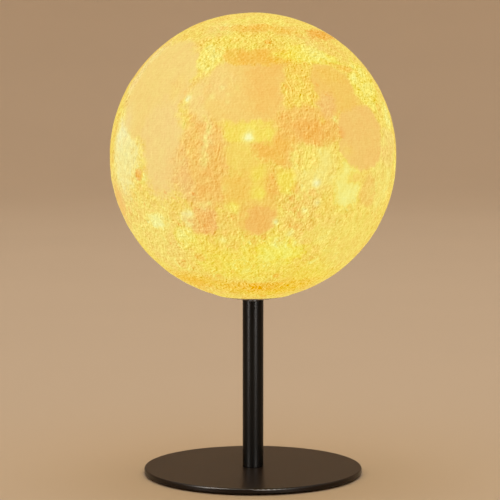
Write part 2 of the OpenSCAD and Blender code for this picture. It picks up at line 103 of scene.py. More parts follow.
# Ground, each row laid over those before it: longitude and latitude in degrees, width and height
# in km, turn in degrees, squareness (2 is round), tone, milkiness, smoothness, and width of the
# edge in radians
GROUND = (
    # far side
    (120, 10, 1500, 1500, 0, 2, 0.57, 0.06, 0.0, 0.40),
    (175, 38, 1500, 1200, 0, 2, 0.72, 0.08, -0.1, 0.20),
    (-120, 45, 1300, 900, 0, 2, 0.52, 0.02, 0.3, 0.15),
    (-140, -5, 1300, 1200, 0, 2, 0.66, 0.10, 0.0, 0.30),
    (152, -8, 900, 700, 20, 2, 0.74, 0.10, -0.2, 0.15),
    (-172, -48, 1800, 1500, 0, 2, 0.44, -0.04, 0.3, 0.12),
    (-175, -38, 900, 700, 30, 2, 0.36, -0.04, 0.6, 0.06),
    (-129, 2, 560, 540, 0, 2, 0.54, 0.02, 0.3, 0.08),
    (-157, -4, 420, 420, 0, 2, 0.52, 0.05, 0.4, 0.05),
    (-175, 12, 520, 300, 30, 2, 0.78, 0.16, 0.1, 0.08),
    (-152, -36, 490, 490, 0, 2, 0.42, 0.00, 0.6, 0.05),
    (-147, -37, 200, 230, 0, 2, 0.28, 0.00, 0.8, 0.04),
    (141, 6, 320, 310, 0, 2, 0.54, 0.06, 0.5, 0.05),
    (129, -20, 180, 160, 0, 2, 0.22, 0.00, 0.9, 0.03),
    (173, -17, 130, 120, 0, 2, 0.32, 0.00, 0.8, 0.03),
    (148, 27, 277, 277, 0, 2, 0.30, 0.00, 0.8, 0.05),
    (163, -34, 420, 380, 20, 2, 0.34, 0.02, 0.8, 0.05),
    (110, 40, 500, 400, 0, 2, 0.72, 0.08, -0.1, 0.08),
    (-93, -19, 930, 930, 0, 2, 0.64, 0.14, 0.0, 0.05),
    (-93, -19, 620, 620, 0, 2, 0.54, 0.12, 0.3, 0.04),
    (-93, -19, 330, 330, 0, 2, 0.40, 0.10, 0.8, 0.05),
    (82, 57, 273, 273, 0, 2, 0.42, 0.00, 0.8, 0.05),
    (86, 5, 420, 700, 0, 2, 0.50, 0.06, 0.6, 0.05),
    (93, -39, 560, 560, 0, 2, 0.50, 0.04, 0.6, 0.05),
    # southern highlands
    (-68, -30, 1000, 1100, 0, 2, 0.64, 0.13, 0.1, 0.25),
    (-25, -42, 1000, 650, 0, 2, 0.65, -0.06, 0.2, 0.20),
    (20, -50, 950, 550, 0, 2, 0.64, -0.07, 0.3, 0.20),
    (35, -35, 900, 850, 0, 2, 0.64, 0.06, 0.5, 0.20),
    (15, -27, 460, 380, 0, 2, 0.65, 0.08, 0.3, 0.12),
    (1, -17, 460, 700, 0, 2, 0.56, 0.06, -0.1, 0.10),
    (-28, -28, 260, 500, 0, 2, 0.55, 0.02, 0.1, 0.08),
    (-5, -37, 480, 330, 0, 2, 0.82, -0.14, 0.4, 0.10),
    (-64, -24.5, 270, 190, 0, 2, 0.95, 0.22, 0.3, 0.08),
    (-51, -31, 230, 290, 0, 2, 0.78, 0.05, -0.3, 0.08),
    (-68, -57, 620, 300, 0, 2, 0.42, -0.14, 0.3, 0.12),
    (-12, -64, 1300, 380, 0, 2, 0.48, -0.14, -0.1, 0.12),
    (-16, -60, 560, 260, 0, 2, 0.36, -0.14, -0.3, 0.08),
    # west limb and the western plain
    (-80, 3, 640, 950, 0, 2, 0.78, 0.36, 0.4, 0.15),
    (-86, 38, 420, 850, 0, 2, 0.64, 0.34, 0.0, 0.10),
    (-67, 30, 1000, 1350, 0, 2.5, 0.57, 0.20, 1.0, 0.05),
    (-56, -5, 340, 520, 0, 2, 0.53, 0.25, 0.8, 0.14),
    (-57, 6, 640, 1000, 0, 2.2, 0.56, 0.26, 1.0, 0.08),
    (-54, 29, 190, 260, 0, 2, 0.55, 0.14, 0.8, 0.06),
    (-49, 25, 60, 130, 0, 2, 0.42, 0.02, 0.2, 0.03),
    # ground between the western plain and the centre
    (-37.5, 0, 660, 1060, 0, 2.5, 0.42, 0.06, 0.2, 0.05),
    (-46, -5, 320, 560, 0, 2, 0.46, 0.16, 0.4, 0.14),
    (-35, -8, 380, 560, 0, 2, 0.36, 0.03, 0.4, 0.07),
    (-41.5, 8, 150, 900, 0, 2, 0.42, 0.03, 0.3, 0.06),
    (-36, 9, 60, 440, -3, 2, 0.72, 0.24, 0.2, 0.03),
    (-37.5, 1, 60, 200, 0, 2, 0.64, 0.18, 0.2, 0.03),
    (-32, 4, 60, 700, 0, 2, 0.40, 0.02, 0.3, 0.04),
    (-18, -9, 460, 620, 0, 2, 0.56, -0.03, 0.7, 0.08),
    (-24.5, -9.5, 290, 380, 0, 2, 0.44, -0.03, 0.7, 0.06),
    (-23.5, 2, 360, 330, 0, 3, 0.58, 0.00, 0.75, 0.05),
    (-7.5, 5.5, 640, 350, 0, 2.5, 0.35, -0.07, 0.7, 0.05),
    (-3, 2, 240, 230, 0, 2, 0.38, -0.02, 0.2, 0.05),
    (-19.8, 12.2, 530, 290, 0, 8, 0.65, -0.06, 0.65, 0.025),
    (-39, -22.8, 400, 370, 0, 2.5, 0.35, 0.08, 0.1, 0.03),
    (-47, -22, 140, 210, 0, 2, 0.76, 0.36, 0.4, 0.05),
    (-11.5, -10.5, 140, 400, 0, 3, 0.38, -0.02, 0.4, 0.04),
    (-16.5, -21, 430, 440, 0, 3, 0.46, 0.01, 0.7, 0.035),
    (-15, -22.5, 290, 380, 0, 3.5, 0.33, 0.03, 0.8, 0.02),
    # northern band and the upper plain
    (-20, 70, 900, 200, 0, 2, 0.66, 0.02, 0.2, 0.06),
    (-20, 53.5, 1250, 350, 0, 2.5, 0.64, -0.02, -0.2, 0.05),
    (-12, 62.5, 900, 200, 0, 2, 0.42, -0.10, 0.1, 0.05),
    (-45, 57.5, 330, 130, 0, 2, 0.60, 0.05, 0.2, 0.05),
    (43, 57, 620, 220, 0, 2, 0.20, -0.08, 0.1, 0.05),
    (-38, 25, 560, 500, 0, 2, 0.56, 0.18, 0.65, 0.08),
    (-22, 28.5, 980, 760, 0, 2.5, 0.50, 0.08, 0.85, 0.04),
    (-34, 32, 300, 400, 0, 2, 0.55, 0.16, 0.7, 0.12),
    (-13, 29.5, 450, 770, 0, 2.5, 0.37, 0.00, 0.9, 0.12),
    (-17.5, 45, 820, 260, 0, 4, 0.44, -0.10, 0.4, 0.03),
    (-17, 44.5, 400, 220, 0, 3, 0.35, -0.12, 0.6, 0.04),
    (-41.5, 43, 360, 430, 0, 2.5, 0.72, 0.05, -0.2, 0.03),
    # eastern highlands and plains
    (6, -3, 600, 620, 0, 2, 0.67, 0.13, 0.3, 0.12),
    (1.5, 2.5, 340, 300, 0, 2, 0.66, 0.06, 0.0, 0.06),
    (9.5, 1, 180, 300, 0, 2, 0.76, 0.16, 0.7, 0.06),
    (-6, -7, 260, 300, 0, 2, 0.66, -0.06, 0.4, 0.06),
    (43, -8, 660, 760, 0, 2, 0.69, 0.11, 0.3, 0.10),
    (21.5, -9, 360, 560, 0, 2, 0.80, 0.06, 0.8, 0.08),
    (25.5, -6.5, 200, 110, 0, 3, 0.56, 0.02, 0.7, 0.04),
    (33, -12.5, 330, 380, 0, 2, 0.51, 0.05, 0.5, 0.05),
    (3.5, 31, 400, 900, 0, 2.5, 0.55, -0.06, -0.1, 0.04),
    (42, 31, 600, 700, -15, 2, 0.73, -0.01, -0.3, 0.06),
    (13, 44, 900, 330, -12, 2, 0.72, -0.08, -0.1, 0.05),
    (30, 39, 400, 110, -10, 2, 0.45, -0.08, 0.0, 0.04),
    (3.5, 14.3, 800, 430, 0, 2.5, 0.37, -0.01, 0.3, 0.05),
    (50, 4, 520, 500, 0, 2, 0.62, 0.14, 0.2, 0.06),
    (29.5, 9, 780, 750, 0, 2.5, 0.44, 0.10, 0.95, 0.035),
    (19, 28, 610, 600, -5, 2.5, 0.43, 0.00, 0.9, 0.035),
    (20, 34, 400, 170, 0, 2, 0.43, -0.04, 0.7, 0.05),
    (12, 22.5, 240, 340, 0, 2, 0.38, 0.10, 0.6, 0.06),
    (2.3, 12, 310, 240, 0, 2.5, 0.28, -0.02, 0.4, 0.04),
    (54, 17, 300, 330, 0, 2, 0.76, 0.06, -0.4, 0.05),
)

# Bright or dark spots laid on top: longitude, latitude and radius in degrees, tone, milkiness
SPOTS = (
    (-46.5, 24.5, 1.5, 0.34, 0.30), (-20.2, 9.3, 2.0, 0.34, 0.34), (-32, 29, 1.2, 0.10, 0.08),
    (-29, 26, 1.2, 0.10, 0.08), (-36, 25, 1.3, 0.12, 0.08), (-29, 23, 1.0, 0.14, 0.10),
    (15.5, 16, 1.3, 0.30, 0.12), (9.5, 15.5, 1.2, 0.22, -0.04), (17.5, 11, 2.0, -0.16, -0.06),
    (20, 4, 3.0, 0.08, -0.04), (43, 27, 4.0, 0.08, 0.00), (35, 34.5, 2.2, 0.10, 0.08),
    (18, 47, 5.0, 0.06, 0.10), (52, 14, 4.0, 0.06, 0.04), (6, -8, 1.8, 0.22, 0.26),
    (22, -15, 4.5, 0.10, 0.04), (-26, -16.5, 1.8, 0.24, -0.08), (-29.5, -10, 1.6, 0.16, 0.10),
    (-17, -4, 2.5, 0.12, -0.04), (-16, -12, 2.5, 0.12, -0.02), (-39, -17, 1.8, 0.24, 0.16),
    (-36, -15.5, 1.2, 0.20, 0.12), (-32, -25, 1.4, 0.18, 0.14), (-32, -31, 1.8, 0.18, 0.12),
    (-46, -31, 2.0, 0.14, -0.04), (7, -15.5, 1.8, 0.14, 0.20), (2, -18.5, 1.4, 0.22, 0.18),
    (-9.3, -23, 1.4, 0.20, 0.22), (-2, -28, 2.0, 0.20, 0.14), (-7, -32.5, 2.0, 0.10, 0.26),
    (2, -33, 2.2, 0.10, 0.20), (14, -43, 2.0, 0.16, 0.08), (37, -11, 2.0, 0.12, 0.06),
    (-66, -7, 2.0, 0.16, 0.06), (-2, 42, 5.0, -0.10, -0.08), (10, -62, 7.0, -0.06, -0.06),
    (-84, 13, 7.0, 0.06, 0.24), (-84, -13, 6.0, 0.05, 0.10), (-48, 63, 6.0, 0.05, 0.10),
)

# Craters: longitude and latitude in degrees, diameter in km, tone of the floor
CRATERS = (
    (-11.4, -43.3, 85, 0.06), (-20.1, 9.6, 93, 0.16), (-36.5, 9.5, 40, 0.10),
    (-47.4, 23.7, 46, 0.20), (60.9, -8.9, 72, 0.10), (-68.3, -5.5, 174, -0.34),
    (-9.3, 51.6, 109, -0.30), (-20.4, -43.4, 101, -0.06), (-39.0, -51.9, 150, -0.06),
    (-69.1, -66.5, 287, -0.08), (-13.5, -29.9, 97, -0.16), (-11.3, 14.5, 58, -0.08),
    (9.1, 14.5, 38, -0.20), (16.0, 16.3, 34, -0.24), (23.7, 15.4, 43, -0.10),
    (46.0, 21.3, 64, -0.16), (-22.2, -20.7, 61, -0.06), (-5.8, -70.6, 111, -0.16),
    (-21.4, -63.8, 117, -0.10), (-42.0, 62.0, 165, -0.10), (4.5, 65.4, 156, -0.10),
    (16.3, 44.3, 67, -0.06), (39.1, 46.7, 69, -0.06), (-4.0, 29.7, 82, -0.14),
    (24.0, -13.2, 98, -0.08), (-14.5, -58.8, 225, -0.08), (-1.9, -9.3, 154, -0.12),
    (-2.8, -13.7, 108, -0.12), (-1.9, -18.2, 97, -0.10), (5.1, -11.2, 136, -0.08),
    (26.4, -11.5, 100, -0.06), (24.1, -18.0, 98, -0.06), (-39.9, -17.6, 110, -0.10),
    (61.1, -25.1, 177, -0.08), (60.4, -8.9, 132, -0.08), (56.6, 27.7, 126, -0.10),
    (29.9, -41.1, 114, -0.06), (14.0, -41.1, 126, -0.06), (0.0, -25.5, 115, -0.10),
    (-0.8, -33.1, 128, -0.06), (-5.5, -32.5, 150, -0.08), (0.9, -7.0, 40, -0.04),
    (-60.0, -44.3, 227, -0.06), (-9.1, 1.0, 40, -0.04), (-4.0, -51.0, 110, -0.24),
    (-163.3, 22.1, 71, 0.08), (103, 36, 40, 0.10), (-102, 50, 50, 0.08), (150, -50, 60, 0.08),
    (175, 58, 220, -0.08), (-146, 58, 330, -0.08), (104, -12, 190, -0.08), (176, -5, 150, -0.08),
    (121, 28, 170, -0.10), (-118, -26, 200, -0.08), (-141, 26, 150, -0.10), (160, 46, 180, -0.08),
    (-55, -12, 44, -0.26), (-51, -14, 44, -0.26), (-42, -12, 70, -0.22), (-68, -17, 50, -0.30),
    (-60, -34, 56, -0.26), (-66, -39, 56, -0.26), (-58, -43, 80, -0.22), (-55, -47, 56, -0.24),
    (-51, -25, 50, -0.22), (11, 30, 36, -0.22), (14, 26, 36, -0.22), (17, 13, 36, -0.24),
    (18, 9, 36, -0.20), (2, -57, 44, -0.30), (8, -59, 44, -0.28), (-20, -49, 60, -0.14),
)

# Bright rays round fresh craters: longitude and latitude in degrees, brightness
RAYS = (
    (-11.4, -43.3, 0.08), (-20.1, 9.6, 0.06), (-36.5, 9.5, 0.04), (-47.4, 23.7, 0.05),
    (60.9, -8.9, 0.10), (-163.3, 22.1, 0.09), (103, 36, 0.08), (-102, 50, 0.07), (150, -50, 0.08),
)


def around_globe(longitude, latitude, facing):
    """The unit direction of a place on the moon, with the facing longitude turned to the front."""
    turn, tilt = np.radians(longitude - facing), np.radians(latitude)
    level = math.cos(tilt)
    return np.array([level * math.sin(turn), -level * math.cos(turn), math.sin(tilt)])


def unit(rows):
    """Each row, scaled to a length of 1."""
    return rows / np.linalg.norm(rows, axis=-1, keepdims=True)


def corner_value(x, y, z, seed):
    """A repeatable value from -1 to 1 at each whole-number corner, by an integer hash."""
    h = (x * 374761393 + y * 668265263 + z * 2147483647 + seed * 1274126177) & 0xFFFFFFFF
    h = ((h ^ (h >> 13)) * 1274126177) & 0xFFFFFFFF
    h = ((h ^ (h >> 16)) * 2246822519) & 0xFFFFFFFF
    return ((h ^ (h >> 15)) & 0xFFFFFF) / float(0xFFFFFF) * 2 - 1


def noise(points, scale, seed):
    """Smooth value noise from -1 to 1."""
    q = points * scale + 100.0
    cell = np.floor(q).astype(np.int64)
    f = q - cell
    f = f * f * f * (f * (f * 6 - 15) + 10)
    total = np.zeros(points.shape[:-1])
    for corner in range(8):
        dx, dy, dz = corner & 1, corner >> 1 & 1, corner >> 2
        weight = (f[..., 0] if dx else 1 - f[..., 0]) * (f[..., 1] if dy else 1 - f[..., 1])
        weight = weight * (f[..., 2] if dz else 1 - f[..., 2])
        value = corner_value(cell[..., 0] + dx, cell[..., 1] + dy, cell[..., 2] + dz, seed)
        total += weight * value
    return total


def rough(points, scale, octaves, seed):
    """Noise summed over octaves, from -1 to 1."""
    total, amount, reach = np.zeros(points.shape[:-1]), 1.0, 0.0
    for octave in range(octaves):
        total += amount * noise(points, scale, seed + octave)
        reach += amount
        amount *= 0.5
        scale *= 2.03
    return total / reach


def crests(points, scale, octaves, seed):
    """Noise with narrow bright crests, from -1 to 1."""
    total, amount, reach = np.zeros(points.shape[:-1]), 1.0, 0.0
    for octave in range(octaves):
        total += amount * (1 - 4 * np.abs(noise(points, scale, seed + octave)))
        reach += amount
        amount *= 0.6
        scale *= 2.1
    return np.clip(total / reach, -1, 1)


def smooth_step(x):
    """0 below 0, 1 above 1 and an even ease between."""
    x = np.clip(x, 0.0, 1.0)
    return x * x * (3 - 2 * x)


def arc_to(points, centre):
    """Each point's arc from a place, in radians."""
    return np.arccos(np.clip(points @ centre, -1, 1))


def local_map(points, longitude, latitude, facing):
    """Each point's arc from a place, and its east and north parts, in radians."""
    centre = around_globe(longitude, latitude, facing)
    east = around_globe(longitude + 90, 0.0, facing)
    north = np.cross(east, -centre)
    north *= 1 if north[2] > 0 else -1
    arc = arc_to(points, centre)
    x, y = points @ east, points @ north
    across = np.hypot(x, y) + 1e-9
    return arc, arc * x / across, arc * y / across


def lay_ground(points, facing):
    """Tone, milkiness and smoothness of the ground, laid row by row with frayed edges."""
    warp = np.stack([rough(points, 4.5, 4, seed) for seed in (11, 23, 37)], -1)
    fret = np.stack([rough(points, 26.0, 3, seed) for seed in (41, 53, 67)], -1)
    q = unit(points + 0.05 * warp + 0.03 * fret)
    speckle = noise(points, 75.0, seed=79)
    ground = np.zeros((len(points), 3)) + BARE_GROUND
    for longitude, latitude, wide, high, turn, square, *look, edge in GROUND:
        half_wide, half_high = wide / 2 / MOON_R_KM, high / 2 / MOON_R_KM
        centre = around_globe(longitude, latitude, facing)
        near = np.nonzero(q @ centre > math.cos(math.hypot(half_wide, half_high) + edge))[0]
        if not len(near):
            continue
        _, x, y = local_map(q[near], longitude, latitude, facing)
        c, s = math.cos(math.radians(turn)), math.sin(math.radians(turn))
        across = np.abs(x * c + y * s) / half_wide
        along = np.abs(y * c - x * s) / half_high
        d = (across**square + along**square) ** (1 / square)
        from_edge = (1 - d) * min(half_wide, half_high) / edge
        inside = smooth_step(from_edge + 0.5 + 0.25 * speckle[near])[:, None]
        ground[near] += inside * (np.array(look) - ground[near])
    return ground.T


def add_spots(points, facing, tone, milk):
    """Lays the bright and dark spots on the tone and the milkiness."""
    broken = 1 + 0.8 * rough(points, 14.0, 3, seed=91)
    for longitude, latitude, radius, spot_tone, spot_milk in SPOTS:
        arc = arc_to(points, around_globe(longitude, latitude, facing))
        amount = np.exp(-((arc / math.radians(radius)) ** 2)) * broken
        tone += spot_tone * amount
        milk += spot_milk * amount


def small_craters():
    """Craters at seeded places all round: few large, many small."""
    draw = np.random.default_rng(CRATER_SEED)
    for _ in range(SMALL_CRATERS):
        z, turn = draw.uniform(-1, 1), draw.uniform(0, 360)
        diameter = SMALLEST_CRATER_KM * draw.uniform(0.02, 1.0) ** -0.45
        yield turn, math.degrees(math.asin(z)), diameter, draw.uniform(-0.10, 0.02)


def press_crater(points, facing, crater, bare, relief, detail):
    """Presses a crater's bowl and rim into the relief, and paints light and shade on its walls in
    the detail.
    """
    longitude, latitude, diameter, floor_tone = crater
    radius = diameter / 2 / MOON_R_KM
    centre = around_globe(longitude, latitude, facing)
    near = np.nonzero(points @ centre > math.cos(radius * 2.2))[0]
    if not len(near):
        return
    arc, east, _ = local_map(points[near], longitude, latitude, facing)
    d = arc / radius * (1 + EDGE_WOBBLE * noise(points[near], 26.0, seed=211))
    shown = 1 - 0.85 * (1 - bare[near]) * (floor_tone > DARK_FLOOR)
    depth = CRATER_DEPTH * math.sqrt(diameter / CRATER_DEPTH_KM)
    bowl = np.where(d < 1, -(1 - d * d), 0.0)
    rim = np.exp(-(((d - 1) / RIM_WIDTH) ** 2))
    relief[near] += (depth * bowl + RIM_HEIGHT * depth * rim) * shown
    # Painted shading: walls lighter on the east side of the bowl and darker on the west, reversed
    # just outside the rim, as if lit from one side
    lit = np.where(d < 1, d, -1.2 * rim) * east / (arc + 1e-6)
    floor = floor_tone * np.where(d < 1, 1 - d**4, 0)
    detail[near] += (floor + 0.05 * rim + 0.10 * lit) * shown


def add_rays(points, facing, tone, milk):
    """Lays bright rays round the fresh craters."""
    for longitude, latitude, rays in RAYS:
        arc, east, north = local_map(points, longitude, latitude, facing)
        turn = np.arctan2(north, east)
        around = np.stack([np.cos(turn), np.sin(turn), arc * 0], -1)
        streak = np.clip(rough(around, 5.0, 3, seed=5) * 2.2 + 0.35, 0, 1)
        tone += rays * 0.6 * np.exp(-arc / (rays * 1.6)) * (0.35 + 0.65 * streak)
        milk += rays * 0.4 * np.exp(-((arc / 0.06) ** 2))


def moon_map(points, facing):
    """Relief in metres, smoothness, tone and milkiness of each direction, with painted shading on
    crater walls in the tone and milkiness.
    """
    tone, milk, plain = lay_ground(points, facing)
    bare = 1 - np.clip(plain, 0, 1)
    tone = tone + rough(points, 8.0, 4, seed=71) * (0.03 + 0.05 * bare)
    detail = rough(points, 30.0, 3, seed=81) + crests(points, 17.0, 2, seed=87)
    detail = detail * (0.02 + 0.04 * bare)
    add_spots(points, facing, tone, milk)
    relief = rough(points, 12.0, 5, seed=131) * ROUGH_HEIGHT * (0.15 + 0.85 * bare)
    relief = relief - PLAIN_DEPTH * (1 - bare)
    # Each crater also adds painted shading on its walls to the detail, which goes into the tone and
    # the milkiness
    for crater in (*CRATERS, *small_craters()):
        press_crater(points, facing, crater, bare, relief, detail)
    add_rays(points, facing, tone, milk)
    return relief, plain, tone + detail, milk + 0.4 * detail


def add_piece(name, add, **how):
    """Adds a primitive with all else deselected, and names it."""
    bpy.ops.object.select_all(action="DESELECT")
    add(**how)
    piece = bpy.context.object
    piece.name = piece.data.name = name
    return piece


def finish_piece(piece, material, body, replaced):
    """Puts the piece's place into its mesh, gives it its finish and ties it to its body."""
    bpy.ops.object.select_all(action="DESELECT")
    piece.select_set(True)
    bpy.context.view_layer.objects.active = piece
    bpy.ops.object.transform_apply(location=True, rotation=True, scale=True)
    bpy.ops.object.shade_smooth_by_angle(angle=SMOOTH_ANGLE)
    piece.data.materials.clear()
    piece.data.materials.append(material)
    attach(piece, body)
    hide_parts(*replaced)


def dress(material, *names):
    """Gives CAD nodes their material."""
    for name in names:
        mesh = NODES[name].data
        mesh.materials.clear()
        mesh.materials.append(material)


def read_points(mesh):
    """The mesh's points, one row each."""
    flat = np.empty(len(mesh.vertices) * 3)
    mesh.vertices.foreach_get("co", flat)
    return flat.reshape(-1, 3)


def extrude_ring(mesh, radius, height):
    """Extrudes the selected ring of edges to a radius and a height, and returns its points."""
    bpy.ops.mesh.extrude_edges_move()
    ring = [v for v in bmesh.from_edit_mesh(mesh).verts if v.select]
    for v in ring:
        share = radius / math.hypot(v.co.x, v.co.y)
        v.co = (v.co.x * share, v.co.y * share, height)
    return ring


class Recipe:
    """One material's nodes, added and joined in short lines."""

    def __init__(self, name):
        self.material = bpy.data.materials.new(name)
        self.material.use_nodes = True
        self.tree = self.material.node_tree
        self.tree.nodes.clear()
        output = self.tree.nodes.new("ShaderNodeOutputMaterial")
        self.shader = self.tree.nodes.new("ShaderNodeBsdfPrincipled")
        self.tree.links.new(self.shader.outputs["BSDF"], output.inputs["Surface"])
        self.place = self.tree.nodes.new("ShaderNodeTexCoord").outputs["Object"]

    def feed(self, socket, value):
        """Joins a socket to another's output, or sets its value."""
        if isinstance(value, bpy.types.NodeSocket):
            self.tree.links.new(value, socket)
        elif socket.type == "RGBA" and len(value) == 3:
            socket.default_value = (*value, 1.0)
        else:
            socket.default_value = value

    def node(self, kind, inputs=(), **settings):
        """Adds a node with its settings and inputs."""
        made = self.tree.nodes.new("ShaderNode" + kind)
        for key, value in settings.items():
            setattr(made, key, value)
        for key, value in dict(inputs).items():
            self.feed(made.inputs[key], value)
        return made

    def surface(self, **sockets):
        """Feeds the Principled shader, with _ for a space in a socket's name."""
        for key, value in sockets.items():
            self.feed(self.shader.inputs[key.replace("_", " ")], value)

    def attribute(self, name):
        """A value that the mesh carries at its points."""
        return self.node("Attribute", attribute_name=name).outputs["Fac"]

    def stretched(self, x, y, z):
        """Object coordinates scaled along each axis."""
        return self.node("Mapping", {"Vector": self.place, "Scale": (x, y, z)}).outputs["Vector"]

    def grain(self, scale, detail=3.0, roughness=0.5, vector=None, distortion=0.0):
        """Noise from 0 to 1, about 0.5."""
        made = self.node("TexNoise", {
            "Vector": vector or self.place, "Scale": scale, "Detail": detail,
            "Roughness": roughness, "Distortion": distortion})
        return made.outputs["Fac"]

    def painted_emboss_shade(self, scale, vector, toward_light, distortion):
        """Painted shading: noise less itself a step on, ridges bright toward the light, dark on the
        other side.
        """
        moved = self.node("VectorMath", {0: vector, 1: toward_light}, operation="ADD").outputs[0]
        here = self.grain(scale, 2.0, 0.5, vector, distortion)
        return self.maths("SUBTRACT", here, self.grain(scale, 2.0, 0.5, moved, distortion))

    def painted_dent_shade(self, scale, lit_from):
        """Painted shading of small bowls, bright on the wall that faces the light and dark on the
        other.
        """
        bowl = self.node("TexVoronoi", {"Vector": self.place, "Scale": scale}, feature="F1")
        away = self.node("VectorMath", {0: self.place, 1: bowl.outputs["Position"]},
                         operation="SUBTRACT")
        side = self.node("VectorMath", {0: away.outputs[0], 1: lit_from}, operation="DOT_PRODUCT")
        wall = self.spread(bowl.outputs["Distance"], 0.35, 0.60, scale, 0.0)
        return self.maths("MULTIPLY", side.outputs["Value"], wall)

    def waves(self, kind, scale, distortion, detail_scale=1.0):
        """RINGS round the upright axis or level BANDS, from 0 to 1."""
        made = self.node("TexWave", {
            "Vector": self.place, "Scale": scale, "Distortion": distortion, "Detail": 2.0,
            "Detail Scale": detail_scale}, wave_type=kind, rings_direction="Z",
            bands_direction="Z")
        return made.outputs["Fac"]

    def maths(self, operation, a, b=0.0, c=0.0):
        """A Math node's result."""
        made = self.node("Math", operation=operation)
        for socket, value in zip(made.inputs, (a, b, c)):
            self.feed(socket, value)
        return made.outputs[0]

    def weighed(self, *parts):
        """The sum of each value times its share."""
        total = 0.0
        for share, value in parts:
            total = self.maths("MULTIPLY_ADD", value, share, total)
        return total

    def centred(self, value):
        """A value from 0 to 1, moved down to lie about 0."""
        return self.maths("SUBTRACT", value, 0.5)

    def spread(self, value, low, high, to_low=0.0, to_high=1.0):
        """A value from low to high, carried over to another range."""
        made = self.node("MapRange", {"Value": value, "From Min": low, "From Max": high,
                                      "To Min": to_low, "To Max": to_high})
        return made.outputs["Result"]

    def ramp(self, factor, *stops):
        """A colour ramp through stops, each a position and a colour."""
        made = self.node("ValToRGB", {"Fac": factor})
        points = made.color_ramp.elements
        while len(points) < len(stops):
            points.new(0.5)
        for point, (position, colour) in zip(points, stops):
            point.position, point.color = position, (*colour, 1.0)
        return made.outputs["Color"]

    def blend(self, factor, a, b, how="MIX"):
        """Two colours blended. The Mix node numbers its colour sockets 6 and 7, and 2 out."""
        made = self.node("Mix", {0: factor, 6: a, 7: b}, data_type="RGBA", blend_type=how)
        return made.outputs[2]

    def bumps(self, height, distance, before=None):
        """A normal bent by a height, over another normal if there is one."""
        made = self.node("Bump", {"Height": height, "Distance": distance, "Strength": 1.0})
        if before is not None:
            self.feed(made.inputs["Normal"], before)
        return made.outputs["Normal"]


def shade(colour, amount):
    """A colour made lighter or darker, up to white."""
    return tuple(min(1.0, c * amount) for c in colour)


def powder_coat(name, colour, roughness, specular):
    """Satin powder coat: fine orange peel, and a slight mottle in colour and gloss."""
    r = Recipe(name)
    peel = r.grain(900.0, 4.0, 0.55)
    fine = r.grain(3600.0, 2.0)
    mottle = r.grain(60.0, 3.0)
    r.surface(
        Base_Color=r.ramp(mottle, (0.3, shade(colour, 0.82)), (0.7, shade(colour, 1.2))),
        Roughness=r.spread(fine, 0.25, 0.75, roughness - 0.05, roughness + 0.06),
        Specular_IOR_Level=specular,
        Normal=r.bumps(fine, 0.004 * MM, r.bumps(peel, 0.012 * MM)),
    )
    return r.material


def moulded(name, colour, roughness=0.45, mottle=0.06, grain=2200.0, depth=0.012, specular=0.5,
            **extra):
    """A moulded plastic or rubber: fine texture, depth in mm, and a slight mottle in colour."""
    r = Recipe(name)
    fine = r.grain(grain, 3.0, 0.6)
    broad = r.grain(140.0, 3.0)
    dark, light = shade(colour, 1 - mottle), shade(colour, 1 + mottle)
    r.surface(
        Base_Color=r.ramp(broad, (0.3, dark), (0.7, light)),
        Roughness=r.spread(fine, 0.3, 0.7, roughness - 0.04, roughness + 0.05),
        Specular_IOR_Level=specular,
        Normal=r.bumps(fine, depth * MM),
        **extra,
    )
    return r.material


def turned_metal(name, colour):
    """Turned steel: fine rings round the axis, with brighter and duller passes."""
    r = Recipe(name)
    rings = r.waves("RINGS", 1500.0, 0.4)
    passes = r.grain(500.0, 2.0, vector=r.stretched(1.0, 1.0, 6.0))
    r.surface(
        Base_Color=r.ramp(passes, (0.3, shade(colour, 0.85)), (0.7, colour)),
        Metallic=1.0,
        Roughness=r.spread(rings, 0.0, 1.0, 0.22, 0.36),
        Normal=r.bumps(rings, 0.004 * MM),
    )
    return r.material


def zinc_plate():
    """Bright zinc: a faint blue and straw cast, and rolled texture."""
    r = Recipe("zinc_screw")
    cast = r.grain(260.0, 3.0)
    scuff = r.grain(2600.0, 4.0, 0.6)
    r.surface(
        Base_Color=r.ramp(cast, (0.35, (0.56, 0.58, 0.62)), (0.65, (0.66, 0.64, 0.58))),
        Metallic=1.0,
        Roughness=r.spread(scuff, 0.3, 0.7, 0.22, 0.38),
        Normal=r.bumps(scuff, 0.005 * MM),
    )
    return r.material


def circuit_board(name, mask, track):
    """Solder mask over copper tracks that run square to each other."""
    r = Recipe(name)
    cells = r.node("TexVoronoi", {"Vector": r.place, "Scale": 420.0}, distance="CHEBYCHEV",
                   feature="F1")
    tracks = r.spread(cells.outputs["Distance"], 0.36, 0.40)
    weave = r.grain(3000.0, 2.0)
    r.surface(
        Base_Color=r.blend(tracks, mask, track),
        Roughness=r.spread(weave, 0.3, 0.7, 0.30, 0.42),
        Normal=r.bumps(tracks, 0.02 * MM, r.bumps(weave, 0.004 * MM)),
    )
    return r.material


def two_leads(name, split, red_side):
    """Insulation of a pair of leads: red on one side of an upright plane, dark on the other.

    The plane holds the lamp's axis and stands at the angle split, in degrees.
    """
    r = Recipe(name)
    turn = math.radians(split)
    square_to_plane = (-red_side * math.sin(turn), red_side * math.cos(turn), 0.0)
    side = r.node("VectorMath", {0: r.place, 1: square_to_plane}, operation="DOT_PRODUCT")
    red = r.spread(side.outputs["Value"], -0.1 * MM, 0.1 * MM)
    fine = r.grain(2200.0, 3.0, 0.6)
    r.surface(
        Base_Color=r.blend(red, (0.014, 0.016, 0.019), (0.42, 0.02, 0.015)),
        Roughness=r.spread(fine, 0.3, 0.7, 0.36, 0.46),
        Normal=r.bumps(fine, 0.012 * MM),
    )
    return r.material


